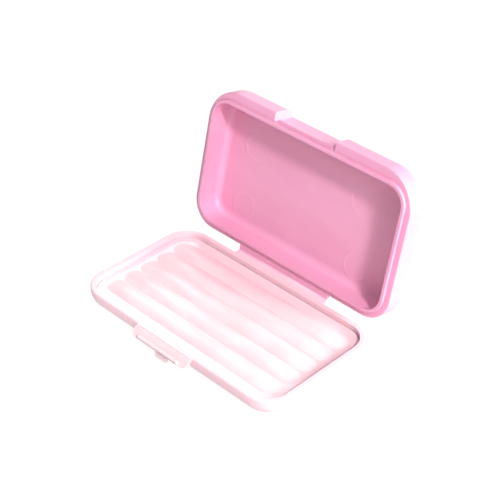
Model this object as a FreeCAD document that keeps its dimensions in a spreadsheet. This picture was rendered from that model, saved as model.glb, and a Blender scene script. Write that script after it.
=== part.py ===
import FreeCAD, Part
import math
import os
import re
import Sketcher
from FreeCAD import Placement, Rotation, Vector

# Pink pocket case: a shallow base and a deeper lid on a film hinge, closed by a film-hinged
# clasp in front, with a clear formed tray of wax sticks lying in the base.
# Frame: millimetres, +Z up, the origin on the table under the middle of the base,
# +X along the case, the clasp towards -Y and the lid hinge towards +Y.
# The rest pose is the open one, with the lid leaning back and the clasp hanging out.
# The lid's front wall stands a little proud of the base, so that the clasp closes flush into it.

sizes = {
    # Outline shared by base and lid
    "case_length": 70.0,
    "case_width": 39.6,
    "corner_radius": 7.5,
    # Base shell
    "base_height": 5.6,
    "base_edge_radius": 4.4,
    "base_rim_width": 1.45,
    "base_floor": 1.2,
    "base_inner_radius": 2.8,
    "rim_rounding": 0.35,
    # Lid shell, its height measured from the parting plane
    "lid_height": 7.5,
    "lid_brow": 1.1,
    "lid_front_radius": 10.0,
    "lid_edge_radius": 3.6,
    "lid_roof": 1.2,
    "lid_inner_radius": 2.0,
    "lip_height": 0.9,
    "lip_wall": 0.9,
    "lip_clearance": 0.1,
    "lip_rounding": 0.25,
    "parting_gap": 0.16,
    # Film hinge of the lid
    "hinge_length": 32.0,
    "hinge_reach": 1.45,
    "leaf_thickness": 0.9,
    "film_radius": 0.24,
    "film_clearance": 0.05,
    "lid_open_angle": 102.5,
    # Clasp in front, and the recess in the lid that it closes into
    "latch_shift": -1.5,
    "latch_width": 20.0,
    "latch_length": 2.65,
    "latch_thickness": 0.9,
    "latch_reach": 0.5,
    "latch_corner": 2.0,
    "latch_droop": 45.0,
    "root_clearance": 0.06,
    "finger_shift": 1.0,
    "finger_width": 4.0,
    "finger_length": 1.9,
    "finger_thickness": 0.75,
    "finger_root": 0.56,
    "finger_flare": 45.0,
    "finger_rounding": 0.3,
    "catch_length": 14.6,
    "catch_height": 0.7,
    "catch_rise": 0.75,
    "catch_rounding": 0.25,
    "catch_clearance": 0.2,
    "catch_bite": 0.2,
    "recess_clearance": 0.5,
    "bead_height": 0.8,
    "bead_offset": 0.05,
    "bead_end_gap": 1.2,
    # Clear tray
    "tray_thickness": 0.35,
    "tray_clearance": 0.2,
    "tray_seat_gap": 0.05,
    "tray_side_land": 3.4,
    "tray_end_land": 2.4,
    "channel_depth": 2.5,
    "channel_gap": 0.5,
    # Wax sticks
    "stick_clearance": 0.12,
    "stick_crown": 0.9,
    "crown_radius": 4.6,
    "stick_rounding": 0.4,
}
stick_count = 5

doc = FreeCAD.newDocument("pocket_case")
sheet = doc.addObject("Spreadsheet::Sheet", "Sizes")
for row, (alias, number) in enumerate(sizes.items(), start=1):
    sheet.set(f"A{row}", alias)
    sheet.set(f"B{row}", str(number))
    sheet.setAlias(f"B{row}", alias)
doc.recompute()

size_names = re.compile(r"\b(" + "|".join(sizes) + r")\b")

# Heights and places that several pieces share, as formulas of the sizes
lip_inset = "(base_rim_width + lip_clearance)"
cavity_inset = f"({lip_inset} + lip_wall)"
tray_inset = "(base_rim_width + tray_clearance)"
hinge_y = "(case_width / 2 + hinge_reach)"
hinge_z = "(base_height + parting_gap / 2)"
leaf_end = "(film_radius + film_clearance)"
latch_y = "(case_width / 2 + latch_reach)"
latch_z = "(base_height - latch_thickness / 2)"
latch_root = "(latch_thickness / 2 + root_clearance)"
bead_rise = f"({lip_inset} + latch_reach - latch_thickness / 2 - catch_rise + catch_bite)"
catch_low = "(latch_thickness / 2 + parting_gap + bead_offset + bead_height + catch_clearance)"
tray_top = "(base_floor + tray_seat_gap + tray_thickness + channel_depth)"
tray_width = f"(case_width - 2 * {tray_inset})"
channel_pitch = f"(({tray_width} - 2 * tray_side_land + channel_gap) / {stick_count})"
channel_half = f"(({channel_pitch} - channel_gap) / 2)"
channel_radius = f"((({channel_half}) ^ 2 + channel_depth ^ 2) / (2 * channel_depth))"
channel_axis_z = f"({tray_top} - channel_depth + {channel_radius})"
channel_run = f"(case_length - 2 * {tray_inset} - 2 * tray_end_land - 2 * {channel_half})"


def named(formula):
    """The formula with the sheet's name in front of each size."""
    return size_names.sub(r"Sizes.\1", formula)


def bind(thing, rules):
    """Ties properties of an object to formulas of the sizes."""
    for path, formula in rules.items():
        thing.setExpression(path, named(formula))


def value(formula):
    """The number that a formula gives with the sheet's present sizes."""
    return float(sheet.evalExpression(named(formula)))


def new_body(label):
    body = doc.addObject("PartDesign::Body", label)
    body.Label = label
    return body


def origin_part(body, role):
    return next(item for item in body.Origin.OriginFeatures if item.Role == role)


def attach(body, thing, role, offset):
    """Puts a sketch or primitive on one of the body's planes, moved by three formulas."""
    thing.AttachmentSupport = [(origin_part(body, role), "")]
    thing.MapMode = "FlatFace"
    bind(thing, {f"AttachmentOffset.Base.{axis}": formula for axis, formula in zip("xyz", offset)})


def add_feature(body, kind, name, settings=None, rules=None):
    feature = body.newObject(kind, name)
    for key, setting in (settings or {}).items():
        setattr(feature, key, setting)
    bind(feature, rules or {})
    body.Tip = feature
    return feature


def outline(body, name, inset, height, middle_y="0", brow="0", front_radius="corner_radius"):
    """Sketch of the case's rounded outline at a height, drawn in by an inset.

    The brow moves its front side out, and the front corners may have their own radius.
    """
    rules = {
        "length": f"case_length - 2 * {inset}",
        "front": f"case_width / 2 + {brow} - {inset}",
        "back": f"case_width / 2 - {inset}",
        "front_radius": f"{front_radius} - {inset}",
        "back_radius": f"corner_radius - {inset}",
    }
    size = {key: value(formula) for key, formula in rules.items()}
    sketch = body.newObject("Sketcher::SketchObject", name)
    attach(body, sketch, "XY_Plane", ("0", middle_y, height))
    side = size["length"] / 2
    corners = [
        (side, -size["front"], size["front_radius"], 270),
        (side, size["back"], size["back_radius"], 0),
        (-side, size["back"], size["back_radius"], 90),
        (-side, -size["front"], size["front_radius"], 180),
    ]
    arcs = []
    for x, y, radius, first in corners:
        centre = Vector(x - math.copysign(radius, x), y - math.copysign(radius, y), 0)
        circle = Part.Circle(centre, Vector(0, 0, 1), radius)
        arcs.append(Part.ArcOfCircle(circle, math.radians(first), math.radians(first + 90)))
    for arc in arcs:
        sketch.addGeometry(arc, False)
    for corner in range(4):
        side_line = Part.LineSegment(arcs[corner].EndPoint, arcs[(corner + 1) % 4].StartPoint)
        sketch.addGeometry(side_line, False)
    for corner in range(4):
        sketch.addConstraint(Sketcher.Constraint("Tangent", corner, 2, 4 + corner, 1))
        sketch.addConstraint(Sketcher.Constraint("Tangent", 4 + corner, 2, (corner + 1) % 4, 1))
    for line, direction in ((4, "Vertical"), (5, "Horizontal"), (6, "Vertical"), (7, "Horizontal")):
        sketch.addConstraint(Sketcher.Constraint(direction, line))
    sketch.addConstraint(Sketcher.Constraint("Symmetric", 0, 3, 3, 3, -2))
    sketch.addConstraint(Sketcher.Constraint("Equal", 1, 2))
    drivers = {
        "length": Sketcher.Constraint("DistanceX", 6, 1, 4, 1, size["length"]),
        "front": Sketcher.Constraint("DistanceY", 7, 1, -1, 1, size["front"]),
        "back": Sketcher.Constraint("DistanceY", -1, 1, 5, 1, size["back"]),
        "front_radius": Sketcher.Constraint("Radius", 0, size["front_radius"]),
        "back_radius": Sketcher.Constraint("Radius", 1, size["back_radius"]),
    }
    for key, driver in drivers.items():
        sketch.renameConstraint(sketch.addConstraint(driver), key)
        bind(sketch, {f"Constraints.{key}": rules[key]})
    return sketch


def block(body, kind, name, low, span):
    """A box feature from its low corner and its span, each three formulas."""
    box = body.newObject(f"PartDesign::{kind}Box", name)
    attach(body, box, "XY_Plane", low)
    bind(box, dict(zip(("Length", "Width", "Height"), span)))
    body.Tip = box
    return box


def round_edges(body, name, radius, chosen):
    """Rounds those edges of the body's last feature that the test picks."""
    doc.recompute()
    last = body.Tip
    picked = [f"Edge{i}" for i, edge in enumerate(last.Shape.Edges, start=1) if chosen(edge.BoundBox)]
    return add_feature(body, "PartDesign::Fillet", name, {"Base": (last, picked)}, {"Radius": radius})


def at_height(height, tolerance=1e-4):
    """Test for edges that lie wholly at one height."""
    level = value(height)
    return lambda box: abs(box.ZMin - level) < tolerance and abs(box.ZMax - level) < tolerance


def capsule(body, kind, name, radius, middle_y, middle_z):
    """A round bar along X with ball ends, its run and radius given by formulas; its seam lies below."""
    sketch = body.newObject("Sketcher::SketchObject", f"{name}_profile")
    attach(body, sketch, "XZ_Plane", ("0", middle_z, f"-1 * ({middle_y})"))
    half, bar = value(channel_run) / 2, value(radius)
    sketch.addGeometry(Part.LineSegment(Vector(-half - bar, 0, 0), Vector(half + bar, 0, 0)), False)
    right_end = Part.Circle(Vector(half, 0, 0), Vector(0, 0, 1), bar)
    sketch.addGeometry(Part.ArcOfCircle(right_end, -math.pi / 2, 0), False)
    sketch.addGeometry(Part.LineSegment(Vector(-half, -bar, 0), Vector(half, -bar, 0)), False)
    left_end = Part.Circle(Vector(-half, 0, 0), Vector(0, 0, 1), bar)
    sketch.addGeometry(Part.ArcOfCircle(left_end, math.pi, 3 * math.pi / 2), False)
    sketch.addConstraint([
        Sketcher.Constraint("Coincident", 0, 2, 1, 2),
        Sketcher.Constraint("Tangent", 2, 2, 1, 1),
        Sketcher.Constraint("Tangent", 3, 2, 2, 1),
        Sketcher.Constraint("Coincident", 3, 1, 0, 1),
        Sketcher.Constraint("Horizontal", 0),
        Sketcher.Constraint("PointOnObject", 1, 3, 0),
        Sketcher.Constraint("PointOnObject", 3, 3, 0),
        Sketcher.Constraint("Symmetric", 1, 3, 3, 3, -1, 1),
    ])
    for rule_name, rule, formula in (
        ("run", Sketcher.Constraint("DistanceX", 3, 3, 1, 3, 2 * half), channel_run),
        ("radius", Sketcher.Constraint("Radius", 1, bar), radius),
    ):
        sketch.renameConstraint(sketch.addConstraint(rule), rule_name)
        bind(sketch, {f"Constraints.{rule_name}": formula})
    turn = {"Profile": sketch, "ReferenceAxis": (sketch, ["H_Axis"])}
    return add_feature(body, f"PartDesign::{kind}", name, turn)


def make_base():
    """Shallow shell with a rounded lower edge, a flat rim, the hinge leaf and the clasp's ledge."""
    body = new_body("base_shell")
    add_feature(body, "PartDesign::Pad", "base_block", {"Profile": outline(body, "base_outline", "0", "0")},
                {"Length": "base_height"})
    round_edges(body, "base_lower_edge", "base_edge_radius", at_height("0"))
    round_edges(body, "base_rim_edge", "rim_rounding", at_height("base_height"))
    mouth = outline(body, "base_mouth", "base_rim_width", "base_height")
    add_feature(body, "PartDesign::Pocket", "base_hollow", {"Profile": mouth},
                {"Length": "base_height - base_floor"})
    round_edges(body, "base_hollow_edge", "base_inner_radius", at_height("base_floor"))
    block(body, "Additive", "base_leaf",
          ("-hinge_length / 2", "case_width / 2 - base_rim_width / 2", "base_height - leaf_thickness"),
          ("hinge_length", f"hinge_reach - {leaf_end} + base_rim_width / 2", "leaf_thickness"))
    block(body, "Additive", "base_ledge",
          ("latch_shift - latch_width / 2", f"-{latch_y} + {leaf_end}", "base_height - latch_thickness"),
          ("latch_width", f"latch_reach - {leaf_end} + base_rim_width / 2", "latch_thickness"))
    return body


def make_lid():
    """Deep shell drawn closed on its hinge axis, then turned open about it."""
    body = new_body("lid_shell")
    middle_y = f"-{hinge_y}"
    front_y = "(-case_width - hinge_reach)"
    step_z = "parting_gap / 2"
    roof_z = "(lid_height + parting_gap / 2)"
    lip_z = "(parting_gap / 2 - lip_height)"
    recess_width = "(latch_width + 2 * recess_clearance)"
    bead_length = f"({recess_width} - 2 * bead_end_gap)"
    whole = outline(body, "lid_outline", "0", step_z, middle_y, "lid_brow", "lid_front_radius")
    add_feature(body, "PartDesign::Pad", "lid_block", {"Profile": whole}, {"Length": "lid_height"})
    round_edges(body, "lid_roof_edge", "lid_edge_radius", at_height(roof_z))
    round_edges(body, "lid_step_edge", "rim_rounding", at_height(step_z))
    block(body, "Subtractive", "lid_recess",
          (f"latch_shift - {recess_width} / 2", f"{front_y} - 2 * lid_brow", f"{step_z} - lip_height"),
          (recess_width, f"2 * lid_brow + {lip_inset}", "2 * lid_height"))
    block(body, "Additive", "lid_bead",
          (f"latch_shift - {bead_length} / 2", f"{front_y} + {lip_inset} - {bead_rise}",
           f"{step_z} + bead_offset"),
          (bead_length, f"{bead_rise} + lip_wall / 2", "bead_height"))
    add_feature(body, "PartDesign::Pad", "lid_lip",
                {"Profile": outline(body, "lip_outline", lip_inset, lip_z, middle_y)},
                {"Length": "lip_height + lid_roof"})
    round_edges(body, "lid_lip_edge", "lip_rounding", at_height(lip_z))
    mouth = outline(body, "lid_mouth", cavity_inset, lip_z, middle_y)
    add_feature(body, "PartDesign::Pocket", "lid_hollow", {"Profile": mouth, "Reversed": True},
                {"Length": "lid_height - lid_roof + lip_height"})
    round_edges(body, "lid_hollow_edge", "lid_inner_radius", at_height(f"{roof_z} - lid_roof"))
    block(body, "Additive", "lid_leaf",
          ("-hinge_length / 2", "-hinge_reach - base_rim_width / 2", step_z),
          ("hinge_length", f"hinge_reach - {leaf_end} + base_rim_width / 2", "leaf_thickness"))
    opened = Rotation(Vector(-1, 0, 0), value("lid_open_angle"))
    body.Placement = Placement(Vector(0, value(hinge_y), value(hinge_z)), opened)
    return body


def make_latch():
    """Clasp drawn closed, standing up from its hinge axis, then folded out and down."""
    body = new_body("latch_clasp")
    block(body, "Additive", "latch_flap",
          ("-latch_width / 2", "-latch_thickness / 2", latch_root),
          ("latch_width", "latch_thickness", f"latch_length - {latch_root}"))
    top = value("latch_length")
    half = value("latch_width / 2")
    round_edges(body, "latch_corners", "latch_corner",
                lambda box: box.ZMin > top - 1e-4 and abs(abs(box.XMin) - half) < 1e-4 and box.XLength < 1e-4)
    finger = block(body, "Additive", "latch_finger",
                   ("finger_shift - finger_width / 2", "-latch_thickness / 2",
                    "latch_length - finger_root"),
                   ("finger_width", "finger_thickness", "finger_length"))
    flare = Rotation(Vector(1, 0, 0), value("finger_flare"))
    finger.AttachmentOffset = Placement(finger.AttachmentOffset.Base, flare)
    doc.recompute()
    reach = min(corner.Point.y for corner in finger.Shape.Vertexes)
    round_edges(body, "latch_finger_edges", "finger_rounding",
                lambda box: box.YMax < 0.8 * reach)
    block(body, "Additive", "latch_catch",
          ("-catch_length / 2", "0", catch_low),
          ("catch_length", "catch_rise + latch_thickness / 2", "catch_height"))
    tooth = value("catch_rise + latch_thickness / 2")
    round_edges(body, "latch_catch_edges", "catch_rounding",
                lambda box: abs(box.YMin - tooth) < 1e-4 and box.YLength < 1e-4)
    folded = Rotation(Vector(1, 0, 0), 90 + value("latch_droop"))
    body.Placement = Placement(Vector(value("latch_shift"), -value(latch_y), value(latch_z)), folded)
    return body


def make_film(label, length, x, y, z):
    """Thin round web on a hinge axis, which both sides of the hinge turn about."""
    film = doc.addObject("Part::Cylinder", label)
    film.Label = label
    film.Placement = Placement(Vector(), Rotation(Vector(0, 1, 0), 90))
    bind(film, {"Radius": "film_radius", "Height": length, "Placement.Base.x": f"{x} - {length} / 2",
                "Placement.Base.y": y, "Placement.Base.z": z})
    return film


def channel_y(index):
    """Formula for the middle of a channel, counted from the front."""
    return f"({index} - {(stick_count - 1) / 2}) * {channel_pitch}"


def make_tray():
    """Formed sheet: round channels hanging from a flat land that stands clear of the rim's wall."""
    body = new_body("clear_tray")
    land = outline(body, "tray_outline", tray_inset, f"{tray_top} - tray_thickness")
    add_feature(body, "PartDesign::Pad", "tray_land", {"Profile": land}, {"Length": "tray_thickness"})
    for index in range(stick_count):
        capsule(body, "Revolution", f"tray_form_{index + 1}", f"{channel_radius} + tray_thickness",
                channel_y(index), channel_axis_z)
    block(body, "Subtractive", "tray_trim",
          ("-case_length", "-case_width", tray_top), ("2 * case_length", "2 * case_width", "2 * base_height"))
    for index in range(stick_count):
        capsule(body, "Groove", f"tray_channel_{index + 1}", channel_radius, channel_y(index), channel_axis_z)
    return body


def make_stick(index):
    """Wax stick: round below to fit its channel, with a low crown above the land."""
    body = new_body(f"wax_stick_{index + 1}")
    capsule(body, "Revolution", "stick_form", f"{channel_radius} - stick_clearance", "0", channel_axis_z)
    crown = body.newObject("Sketcher::SketchObject", "stick_crown_profile")
    attach(body, crown, "YZ_Plane", ("0", f"{tray_top} + stick_crown - crown_radius", "0"))
    inner, outer = value("crown_radius"), value("crown_radius + 2 * base_height")
    for ring in (inner, outer):
        crown.addGeometry(Part.Circle(Vector(0, 0, 0), Vector(0, 0, 1), ring), False)
        crown.addConstraint(Sketcher.Constraint("Coincident", crown.GeometryCount - 1, 3, -1, 1))
    for name, ring, formula in (("inner", 0, "crown_radius"), ("outer", 1, "crown_radius + 2 * base_height")):
        crown.renameConstraint(crown.addConstraint(Sketcher.Constraint("Radius", ring, value(formula))), name)
        bind(crown, {f"Constraints.{name}": formula})
    add_feature(body, "PartDesign::Pocket", "stick_crown_cut", {"Profile": crown, "Midplane": True},
                {"Length": "2 * case_length"})
    waist = value(f"{tray_top} - channel_depth / 2")
    # The rounding stays within the height of the ball end above its own middle
    end_wall = f"({tray_top} + stick_crown - {channel_axis_z})"
    rounding = f"min(stick_rounding; max(2 * stick_clearance; {end_wall} - stick_clearance))"
    round_edges(body, "stick_shoulder", rounding, lambda box: box.ZMin > waist)
    body.Placement = Placement(Vector(0, value(channel_y(index)), 0), Rotation())
    return body


pieces = [
    make_base(),
    make_lid(),
    make_film("lid_hinge_film", "hinge_length", "0", hinge_y, hinge_z),
    make_latch(),
    make_film("latch_hinge_film", "latch_width", "latch_shift", f"-{latch_y}", latch_z),
    make_tray(),
]
pieces += [make_stick(index) for index in range(stick_count)]
doc.recompute()

for thing in doc.Objects:
    if "Invalid" in thing.State or "Error" in thing.State:
        raise RuntimeError(f"{thing.Label} failed: {thing.State}")
for piece in pieces:
    if piece.Shape.isNull() or not piece.Shape.isValid() or len(piece.Shape.Solids) != 1:
        raise RuntimeError(f"{piece.Label} is not one valid solid")

os.makedirs("parts", exist_ok=True)
for piece in pieces:
    piece.Shape.exportStep(f"parts/{piece.Label}.step")
    print(f"{piece.Label:18s} {piece.Shape.Volume:9.2f} mm3")
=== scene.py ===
import bmesh
import bpy
import numpy as np
from mathutils import Matrix, Vector


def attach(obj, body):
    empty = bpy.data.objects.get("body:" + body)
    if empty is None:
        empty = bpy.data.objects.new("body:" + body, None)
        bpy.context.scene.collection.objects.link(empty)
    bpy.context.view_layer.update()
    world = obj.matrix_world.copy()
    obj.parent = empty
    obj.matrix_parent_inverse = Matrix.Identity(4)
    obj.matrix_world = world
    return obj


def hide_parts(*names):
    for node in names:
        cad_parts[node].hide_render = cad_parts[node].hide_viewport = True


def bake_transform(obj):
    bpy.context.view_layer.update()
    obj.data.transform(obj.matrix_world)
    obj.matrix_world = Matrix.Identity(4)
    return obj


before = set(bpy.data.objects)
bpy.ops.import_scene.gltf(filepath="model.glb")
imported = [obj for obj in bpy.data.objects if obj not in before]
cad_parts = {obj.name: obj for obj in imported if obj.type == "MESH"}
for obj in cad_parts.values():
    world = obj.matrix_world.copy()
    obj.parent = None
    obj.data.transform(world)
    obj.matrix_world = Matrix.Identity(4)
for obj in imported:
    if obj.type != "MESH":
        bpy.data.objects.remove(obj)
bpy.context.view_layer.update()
mm = 0.001
creaseAngle = 0.7  # radians: edges that turn by more than this stay sharp
white = (1.0, 1.0, 1.0, 1.0)

# the lid at rest, in millimetres: its hinge line, along it from the hinge, and from its rim into its hollow
lidAxis = np.array([0.0, 21.25, 5.68])
lidAlong = np.array([0.0, 0.2164, 0.9763])
lidDepth = np.array([0.0, 0.9763, -0.2164])
# the clasp at rest: its hinge line, and along its flap
claspAxis = np.array([-1.5, -20.3, 5.15])
claspAlong = np.array([0.0, -0.7071, -0.7071])
print("frame loaded:", len(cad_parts), "nodes")


def tone(red, green, blue):
    # a screen colour of 0-255 as the linear colour that a shader takes, by the sRGB curve
    share = np.array([red, green, blue]) / 255
    linear = np.where(share <= 0.04045, share / 12.92, ((share + 0.055) / 1.055) ** 2.4)
    return (*linear.tolist(), 1.0)


class Wire:
    # a value socket that takes part in plain sums
    def __init__(self, finish, socket):
        self.finish, self.socket = finish, socket

    def maths(self, operation, first, second=0.0):
        return self.finish.node("ShaderNodeMath", {"operation": operation}, {0: first, 1: second})

    def __add__(self, other):
        return self.maths("ADD", self, other)

    def __radd__(self, other):
        return self.maths("ADD", other, self)

    def __sub__(self, other):
        return self.maths("SUBTRACT", self, other)

    def __rsub__(self, other):
        return self.maths("SUBTRACT", other, self)

    def __mul__(self, other):
        return self.maths("MULTIPLY", self, other)

    def __rmul__(self, other):
        return self.maths("MULTIPLY", other, self)

    def __abs__(self):
        return self.maths("ABSOLUTE", self)

    def root(self):
        return self.maths("SQRT", self)

    def band(self, low, high):
        # 0 below low, 1 above high, eased between
        return self.finish.node("ShaderNodeMapRange", {"interpolation_type": "SMOOTHSTEP"},
                                {"Value": self, "From Min": low, "From Max": high})


class Finish:
    # one material, made node by node
    def __init__(self, name):
        self.material = bpy.data.materials.new(name)
        self.material.use_nodes = True
        self.tree = self.material.node_tree
        self.tree.nodes.clear()

    def node(self, kind, settings=None, sockets=None, output=0):
        made = self.tree.nodes.new(kind)
        for key, setting in (settings or {}).items():
            setattr(made, key, setting)
        for key, given in (sockets or {}).items():
            if isinstance(given, Wire):
                self.tree.links.new(given.socket, made.inputs[key])
            else:
                made.inputs[key].default_value = given
        return Wire(self, made.outputs[output])

    def vector(self, operation, first, sockets, output=0):
        return self.node("ShaderNodeVectorMath", {"operation": operation}, {0: first, **sockets}, output)

    def place(self):
        # the piece's own coordinates in millimetres
        spot = self.node("ShaderNodeTexCoord", output="Object")
        return self.vector("SCALE", spot, {"Scale": 1 / mm})

    def noise(self, spot, scale, detail, stretch=(1.0, 1.0, 1.0)):
        # cloudy noise of 0-1; a stretch under 1 draws it out along that direction
        spread = self.vector("MULTIPLY", spot, {1: stretch})
        return self.node("ShaderNodeTexNoise", None,
                         {"Vector": spread, "Scale": scale, "Detail": detail}, "Fac")

    def along(self, spot, origin, direction):
        # how far a spot lies from an origin along a direction
        moved = self.vector("SUBTRACT", spot, {1: tuple(origin)})
        return self.vector("DOT_PRODUCT", moved, {1: tuple(direction)}, "Value")

    def blendColours(self, share, first, second):
        return self.node("ShaderNodeMix", {"data_type": "RGBA"}, {0: share, 6: first, 7: second}, 2)

    def bump(self, height, distance, strength, under=None):
        sockets = {"Height": height, "Distance": distance, "Strength": strength}
        if under is not None:
            sockets["Normal"] = under
        return self.node("ShaderNodeBump", None, sockets)

    def close(self, **sockets):
        named = {key.replace("_", " "): given for key, given in sockets.items()}
        shader = self.node("ShaderNodeBsdfPrincipled", None, named)
        ending = self.tree.nodes.new("ShaderNodeOutputMaterial")
        self.tree.links.new(shader.socket, ending.inputs["Surface"])
        return self.material


# noise scales are per millimetre, bump distances in metres
moulding = {
    "pink": tone(223, 157, 187), "deepPink": tone(219, 149, 180),
    # the base's two pinks are the lid's plastic drawn paler: painted light standing in for the strong light on
    # the base
    "litBasePink": tone(236, 199, 208), "litBaseDeep": tone(233, 192, 202),
    # the clasp's two pinks are the same case plastic drawn paler still: painted light standing in for the strong
    # light on the clasp
    "litClaspPink": tone(239, 211, 216), "litClaspDeep": tone(236, 204, 210),
    "paleFilm": tone(248, 208, 221),
    "flow": {"scale": 0.09, "detail": 3.0, "stretch": (0.35, 1.0, 1.0)}, "flowEdges": (0.3, 0.7),
    "grain": {"scale": 2.6, "detail": 2.0}, "grainBump": {"distance": 0.000012, "strength": 0.5},
    "waves": {"scale": 0.12, "detail": 1.0}, "waveBump": {"distance": 0.0002, "strength": 0.25},
    "wipe": {"scale": 0.16, "detail": 4.0}, "roughLow": 0.30, "roughHigh": 0.44,
    "shader": {"Specular_IOR_Level": 0.45, "Subsurface_Weight": 0.05,
               "Subsurface_Radius": (1.0, 0.55, 0.7), "Subsurface_Scale": 0.0011},
}


def mouldedPlastic(name, first, second, marks=None):
    # satin moulded plastic: slow flow streaks along the case mix two pinks, a soft wipe moves the roughness
    # from low to high, and fine spark grain lies on long shallow waves
    finish = Finish(name)
    spot = finish.place()
    flow = finish.noise(spot, **moulding["flow"])
    grain = finish.noise(spot, **moulding["grain"])
    waves = finish.noise(spot, **moulding["waves"])
    wipe = finish.noise(spot, **moulding["wipe"])
    colour = finish.blendColours(flow.band(*moulding["flowEdges"]), first, second)
    rough = moulding["roughLow"] + wipe * (moulding["roughHigh"] - moulding["roughLow"])
    normal = finish.bump(grain, **moulding["grainBump"])
    normal = finish.bump(waves, under=normal, **moulding["waveBump"])
    if marks:
        normal, colour = marks(finish, spot, normal, colour)
    return finish.close(Base_Color=colour, Roughness=rough, Normal=normal, **moulding["shader"])


ejectorMarks = {
    "places": [(-22.4, 9.1), (18.2, 9.4), (16.3, 27.2), (-21.6, 27.0)],  # across the lid, along it from its hinge
    "radius": 3.7, "line": 0.4,
    "floorDepth": 6.38, "floorEdges": (0.15, 0.5),
    "bump": {"distance": 0.00008, "strength": 0.7}, "paleShare": 0.1,
}


def ejectorRings(finish, spot, normal, colour):
    # shallow rings left by the mould's pins: 1 at the radius from each middle, 0 a line's width away,
    # and only on the floor of the lid's hollow
    across = finish.along(spot, (0, 0, 0), (1, 0, 0))
    along = finish.along(spot, lidAxis, lidAlong)
    depth = finish.along(spot, lidAxis, lidDepth)
    onFloor = 1 - abs(depth - ejectorMarks["floorDepth"]).band(*ejectorMarks["floorEdges"])
    rings = []
    for middleAcross, middleAlong in ejectorMarks["places"]:
        offAcross, offAlong = across - middleAcross, along - middleAlong
        reach = (offAcross * offAcross + offAlong * offAlong).root()
        rings.append(1 - abs(reach - ejectorMarks["radius"]).band(0.0, ejectorMarks["line"]))
    shown = sum(rings[1:], rings[0]) * onFloor
    normal = finish.bump(shown, under=normal, **ejectorMarks["bump"])
    colour = finish.blendColours(shown * ejectorMarks["paleShare"], colour, moulding["paleFilm"])
    return normal, colour


sheet = {
    "tint": tone(245, 210, 219),
    "ripple": {"scale": 0.22, "detail": 2.0}, "rippleBump": {"distance": 0.00012, "strength": 0.3},
    "haze": {"scale": 0.5, "detail": 4.0},
    "alpha": 0.8, "hazeAlpha": 0.08, "rough": 0.14, "hazeRough": 0.1,
    "shader": {"Specular_IOR_Level": 0.6},
}


def formedSheet():
    # thin milky sheet: a slight haze adds to its cover and its roughness, over the soft ripple of forming
    finish = Finish("clearSheet")
    spot = finish.place()
    ripple = finish.noise(spot, **sheet["ripple"])
    haze = finish.noise(spot, **sheet["haze"])
    normal = finish.bump(ripple, **sheet["rippleBump"])
    alpha = sheet["alpha"] + haze * sheet["hazeAlpha"]
    rough = sheet["rough"] + haze * sheet["hazeRough"]
    return finish.close(Base_Color=sheet["tint"], Roughness=rough, Alpha=alpha, Normal=normal, **sheet["shader"])


wax = {
    "pale": tone(240, 204, 210), "rosy": tone(236, 194, 201),
    "shift": (17.0, 51.0, 0.0),  # from one stick's pattern to the next
    "cloud": {"scale": 0.22, "detail": 4.0, "stretch": (0.4, 1.0, 1.0)}, "cloudEdges": (0.32, 0.68),
    "drag": {"scale": 1.6, "detail": 3.0, "stretch": (0.04, 1.0, 1.0)},
    "dragBump": {"distance": 0.00005, "strength": 0.35},
    "pits": {"scale": 1.1, "detail": 2.0}, "pitBump": {"distance": 0.00004, "strength": 0.3},
    "rough": 0.34, "cloudRough": 0.14,
    "shader": {"Specular_IOR_Level": 0.4, "Coat_Weight": 0.1},
}


def cloudyWax(index):
    # soft wax: clouds mix two tints and dull the gloss, with faint drag lines along the stick and small pits
    finish = Finish(f"cloudy_wax_{index + 1}")
    shift = tuple(index * step for step in wax["shift"])
    spot = finish.vector("ADD", finish.place(), {1: shift})
    cloud = finish.noise(spot, **wax["cloud"])
    drag = finish.noise(spot, **wax["drag"])
    pits = finish.noise(spot, **wax["pits"])
    colour = finish.blendColours(cloud.band(*wax["cloudEdges"]), wax["pale"], wax["rosy"])
    normal = finish.bump(drag, **wax["dragBump"])
    normal = finish.bump(pits, under=normal, **wax["pitBump"])
    rough = wax["rough"] + cloud * wax["cloudRough"]
    return finish.close(Base_Color=colour, Roughness=rough, Normal=normal, **wax["shader"])


# the base's finish takes the paler base pinks, so it carries painted light for the strong light on the base
litCasePink = mouldedPlastic("moulded_pink", moulding["litBasePink"], moulding["litBaseDeep"])
lidPink = mouldedPlastic("moulded_pink_lid", moulding["pink"], moulding["deepPink"], ejectorRings)
filmPink = mouldedPlastic("worked_film", moulding["paleFilm"], moulding["pink"])
# the clasp's finish takes the paler clasp pinks, so it carries painted light for the strong light on the clasp
litClaspPink = mouldedPlastic("moulded_pink_clasp", moulding["litClaspPink"], moulding["litClaspDeep"])


def dress(node, material):
    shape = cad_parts[node]
    shape.data.materials.clear()
    shape.data.materials.append(material)


dress("base_shell", litCasePink)
dress("latch_clasp", litClaspPink)
dress("lid_shell", lidPink)
dress("clear_tray", formedSheet())
print("finishes made")


def gridFaces(rows, columns):
    # quads between the rows of a grid whose columns close into a ring
    row, column = np.meshgrid(np.arange(rows - 1), np.arange(columns), indexing="ij")
    nextColumn = (column + 1) % columns
    corners = [row * columns + column, row * columns + nextColumn,
               (row + 1) * columns + nextColumn, (row + 1) * columns + column]
    return np.stack(corners, axis=-1).reshape(-1, 4).tolist()


def makePiece(name, points, faces, material):
    # points in millimetres, faces as lists of corners
    mesh = bpy.data.meshes.new(name)
    mesh.from_pydata((points * mm).tolist(), [], faces)
    mesh.update()
    mesh.polygons.foreach_set("use_smooth", np.ones(len(mesh.polygons), bool))
    mesh.set_sharp_from_angle(angle=creaseAngle)
    mesh.materials.append(material)
    piece = bpy.data.objects.new(name, mesh)
    bpy.context.scene.collection.objects.link(piece)
    return piece


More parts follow.
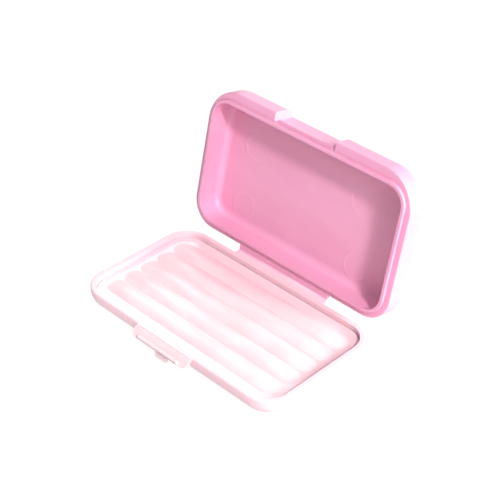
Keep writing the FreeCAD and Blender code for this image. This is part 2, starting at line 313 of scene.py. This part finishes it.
stick = {
    "count": 5, "pitch": 6.0, "halfRun": 28.2, "axisHeight": 4.3625,
    "top": 4.9, "foot": 4.13, "footHalf": 2.95,  # heights of the crown and its feet, and half its width there
    "belly": 2.7, "footDrop": 0.85,  # the belly's radius, and the degrees between foot and belly
    "tipLength": 9.0, "tipShare": 0.2,  # over this length the crown sinks to this share of its height
    "crownPoints": 33, "bellyPoints": 30, "capRows": 12, "runRows": 72,
    "unevenness": 0.03, "unevenFrom": 0.3, "ripples": 6, "seed": 40,
    "rippleLow": [0.1, 0, 0.3, 0], "rippleHigh": [0.5, 6.28, 1.2, 6.28],  # wave and phase along, then across
    "mergeWithin": 0.001, "shortestEdge": 0.0005,
}


def stickSection():
    # an arc of a circle from foot to foot for the low crown, then a circle about the axis for the belly
    # in the channel, which starts a little below each foot
    rise = stick["top"] - stick["foot"]
    crownRadius = (rise ** 2 + stick["footHalf"] ** 2) / (2 * rise)
    lean = np.arcsin(stick["footHalf"] / crownRadius)
    sweep = np.linspace(lean, -lean, stick["crownPoints"])
    crown = np.stack([crownRadius * np.sin(sweep), stick["top"] - crownRadius * (1 - np.cos(sweep))], 1)
    low = np.arctan2(stick["axisHeight"] - stick["foot"], stick["footHalf"]) + np.radians(stick["footDrop"])
    turn = np.linspace(np.pi + low, 2 * np.pi - low, stick["bellyPoints"])
    belly = stick["belly"] * np.stack([np.cos(turn), np.sin(turn)], 1) + [0, stick["axisHeight"]]
    return np.concatenate([crown, belly])


def stickSurface(index):
    # the section runs along X and turns about an upright line at each end; its height over the feet sinks
    # towards the tips by a smooth step, and a sum of sine products lowers it unevenly
    section = stickSection()
    capTurn = np.linspace(0, np.pi / 2, stick["capRows"] + 1)[1:]
    run = np.linspace(-stick["halfRun"], stick["halfRun"], stick["runRows"])
    spin = np.concatenate([-capTurn[::-1], np.zeros(stick["runRows"]), capTurn])
    middle = np.pad(run, stick["capRows"], mode="edge")
    points = np.empty((len(spin), len(section), 3))
    points[..., 0] = middle[:, None] + np.abs(section[:, 0]) * np.sin(spin)[:, None]
    points[..., 1] = section[:, 0] * np.cos(spin)[:, None]
    points[..., 2] = section[:, 1]
    inland = (stick["halfRun"] + stick["footHalf"] - np.abs(points[..., 0])) / stick["tipLength"]
    ease = np.clip(inland, 0, 1)
    ease = stick["tipShare"] + (1 - stick["tipShare"]) * ease * ease * (3 - 2 * ease)
    above = np.maximum(points[..., 2] - stick["foot"], 0)
    draws = np.random.default_rng(stick["seed"] + index)
    ripple = np.zeros_like(above)
    for _ in range(stick["ripples"]):
        wave, phase, crossWave, crossPhase = draws.uniform(stick["rippleLow"], stick["rippleHigh"])
        along = np.sin(wave * points[..., 0] + phase)
        across = np.sin(crossWave * points[..., 1] + crossPhase)
        ripple += (1 + along * across) / (2 * stick["ripples"])
    uneven = stick["unevenness"] * ripple * np.minimum(above / stick["unevenFrom"], 1)
    points[..., 2] += above * (ease - 1) - uneven
    points[..., 1] += (index - (stick["count"] - 1) / 2) * stick["pitch"]
    return points


def makeStick(index):
    # the grid closed round its section; its two sides meet at each tip, so doubles are merged there
    points = stickSurface(index)
    faces = gridFaces(*points.shape[:2])
    piece = makePiece(f"soft_stick_{index + 1}", points.reshape(-1, 3), faces, cloudyWax(index))
    shape = bmesh.new()
    shape.from_mesh(piece.data)
    bmesh.ops.remove_doubles(shape, verts=shape.verts, dist=stick["mergeWithin"] * mm)
    bmesh.ops.dissolve_degenerate(shape, edges=shape.edges, dist=stick["shortestEdge"] * mm)
    bmesh.ops.recalc_face_normals(shape, faces=shape.faces)
    shape.to_mesh(piece.data)
    shape.free()
    piece.data.set_sharp_from_angle(angle=creaseAngle)
    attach(piece, f"stick_{index + 1}")
    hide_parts(f"wax_stick_{index + 1}")
    return piece


sticks = [makeStick(index) for index in range(stick["count"])]
print("sticks made:", sum(len(piece.data.polygons) for piece in sticks), "faces")

# a web's ends lie this far from its hinge line, and run on into the leaves by sink
lidWeb = {"from": -16.0, "to": 16.0, "thick": 0.3, "reach": 0.29, "drop": 0.24, "sink": 0.14}
claspWeb = {"from": -11.5, "to": 8.5, "thick": 0.62, "ledgeEnd": 0.29, "flapEnd": 0.51, "sink": 0.12}
webGrid = {"lineSteps": 26, "acrossSteps": 12, "waist": 0.82, "flare": 0.18}


def webSurface(web, start, startWay, end, endWay):
    # a ribbon whose middle line is a cubic curve leaving each leaf squarely, thinnest half way, carried along X
    reach = np.linalg.norm(end - start) / 3
    startHandle, endHandle = start + reach * startWay, end - reach * endWay
    t = np.linspace(0, 1, webGrid["lineSteps"])[:, None]
    line = (start * (1 - t) ** 3 + 3 * startHandle * t * (1 - t) ** 2
            + 3 * endHandle * t ** 2 * (1 - t) + end * t ** 3)
    line = np.concatenate([[start - web["sink"] * startWay], line, [end + web["sink"] * endWay]])
    way = np.gradient(line, axis=0)
    way /= np.linalg.norm(way, axis=1, keepdims=True)
    side = np.stack([-way[:, 1], way[:, 0]], 1)
    share = np.linspace(-1, 1, len(line))[:, None]
    wall = web["thick"] / 2 * (webGrid["waist"] + webGrid["flare"] * share ** 2)
    loop = np.concatenate([line + side * wall, (line - side * wall)[::-1]])
    across = np.linspace(web["from"], web["to"], webGrid["acrossSteps"])
    points = np.empty((len(across), len(loop), 3))
    points[..., 0] = across[:, None]
    points[..., 1:] = loop[None]
    return points


def makeWeb(name, points, node, material):
    # the grid closed round the ribbon's section, with a strip of quads over each end
    rows, columns = points.shape[:2]
    pair = np.arange(columns // 2 - 1)
    endQuads = np.stack([pair, pair + 1, columns - 2 - pair, columns - 1 - pair], 1)
    farQuads = endQuads[:, ::-1] + (rows - 1) * columns
    faces = gridFaces(rows, columns) + endQuads.tolist() + farQuads.tolist()
    piece = makePiece(name, points.reshape(-1, 3), faces, material)
    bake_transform(piece)
    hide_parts(node)


leafStart = lidAxis[1:] + np.array([-lidWeb["reach"], -lidWeb["drop"]])
leafEnd = lidAxis[1:] + lidWeb["reach"] * lidAlong[1:] + lidWeb["drop"] * lidDepth[1:]
ribbon = webSurface(lidWeb, leafStart, np.array([1.0, 0.0]), leafEnd, lidAlong[1:])
makeWeb("lid_film_web", ribbon, "lid_hinge_film",
        filmPink)

ledgeEnd = claspAxis[1:] + np.array([claspWeb["ledgeEnd"], 0.0])
flapEnd = claspAxis[1:] + claspWeb["flapEnd"] * claspAlong[1:]
ribbon = webSurface(claspWeb, ledgeEnd, np.array([-1.0, 0.0]), flapEnd, claspAlong[1:])
# the clasp's web takes the clasp's paler pink, painted light like the clasp itself
makeWeb("clasp_film_web", ribbon, "latch_hinge_film",
        litClaspPink)
print("film webs made")

# sizes in metres
studio = {
    "floorSize": 12.0, "floorTones": (tone(98, 98, 98), tone(94, 94, 94)), "floorGlow": 0.92,
    "floorCloud": {"scale": 0.004, "detail": 2.0},
    "wallRadius": 3.0, "wallHeight": 0.7, "wallSides": 96, "wallGlow": 0.9,
    "shader": {"Roughness": 0.9, "Specular_IOR_Level": 0.0, "Emission_Color": white},
    "fill": 0.016,
}


def makeFloor():
    # one square of pale paper that glows a little, in two close tones
    half = studio["floorSize"] / mm / 2
    points = np.array([[-half, -half, 0], [half, -half, 0], [half, half, 0], [-half, half, 0]], float)
    finish = Finish("pale_floor")
    cloud = finish.noise(finish.place(), **studio["floorCloud"])
    colour = finish.blendColours(cloud, *studio["floorTones"])
    paper = finish.close(Base_Color=colour, Emission_Strength=studio["floorGlow"], **studio["shader"])
    makePiece("floor", points, [(0, 1, 2, 3)], paper)


def makeWall():
    # a low bright ring round the floor, so that level views end in pale paper
    turn = np.linspace(0, 2 * np.pi, studio["wallSides"], endpoint=False)
    reach, height = studio["wallRadius"] / mm, studio["wallHeight"] / mm
    ring = np.stack([reach * np.cos(turn), reach * np.sin(turn), np.zeros_like(turn)], 1)
    points = np.concatenate([ring, ring + [0, 0, height]])
    paper = Finish("pale_paper").close(Base_Color=studio["floorTones"][0],
                                       Emission_Strength=studio["wallGlow"], **studio["shader"])
    makePiece("paper_wall", points, gridFaces(2, studio["wallSides"]), paper)


lamps = {
    "softFront": {"place": (0.10, -0.14, 0.74), "target": (0, 0, 0), "size": 0.45, "watts": 2.15},
    "softBackLeft": {"place": (-0.46, 0.46, 0.47), "target": (-0.01, 0, 0.005), "size": 0.36, "watts": 1.5},
    "keyHigh": {"place": (0.655, -0.21, 0.646), "target": (0, 0.01, 0.015), "size": 0.1, "watts": 7.4},
    "keyRight": {"place": (0.74, -0.34, 0.44), "target": (0, 0.01, 0.015), "size": 0.28, "watts": 2.7},
    "rimRight": {"place": (0.60, 0.30, 0.22), "target": (0.02, 0.02, 0.02), "size": 0.25, "watts": 7.0,
                 "colour": (1, 1, 0.84)},
}


def makeLight(name, place, target, size, watts, colour=white[:3]):
    # a round soft lamp aimed at its target
    lamp = bpy.data.lights.new(name, "AREA")
    lamp.shape, lamp.size, lamp.energy, lamp.color = "DISK", size, watts, colour
    light = bpy.data.objects.new(name, lamp)
    light.location = place
    light.rotation_mode = "QUATERNION"
    light.rotation_quaternion = (Vector(target) - Vector(place)).to_track_quat("-Z", "Y")
    bpy.context.scene.collection.objects.link(light)


makeFloor()
makeWall()
for name, lamp in lamps.items():
    makeLight(name, **lamp)
world = bpy.data.worlds.new("studioFill")
world.use_nodes = True
background = world.node_tree.nodes["Background"].inputs
background["Color"].default_value = white
background["Strength"].default_value = studio["fill"]
bpy.context.scene.world = world
bpy.context.scene.view_settings.view_transform = "Standard"

# the eye in millimetres, and the way the picture's right, its top and the view point
shot = {
    "eye": (191.48, -188.25, 217.79), "right": (0.7126, 0.7015, 0.0098), "up": (-0.4156, 0.4109, 0.8114),
    "ahead": (-0.5652, 0.5824, -0.5843), "lens": 95.13, "sensor": 36.0, "nearest": 0.01, "farthest": 10.0,
}
lens = bpy.data.cameras.new("photoLens")
lens.lens, lens.sensor_width = shot["lens"], shot["sensor"]
lens.clip_start, lens.clip_end = shot["nearest"], shot["farthest"]
camera = bpy.data.objects.new("photoCamera", lens)
turn = Matrix((shot["right"], shot["up"], tuple(-part for part in shot["ahead"]))).transposed()
camera.matrix_world = Matrix.Translation(Vector(shot["eye"]) * mm) @ turn.to_4x4()
bpy.context.scene.collection.objects.link(camera)
bpy.context.scene.camera = camera
print("stage set")

bpy.context.view_layer.update()
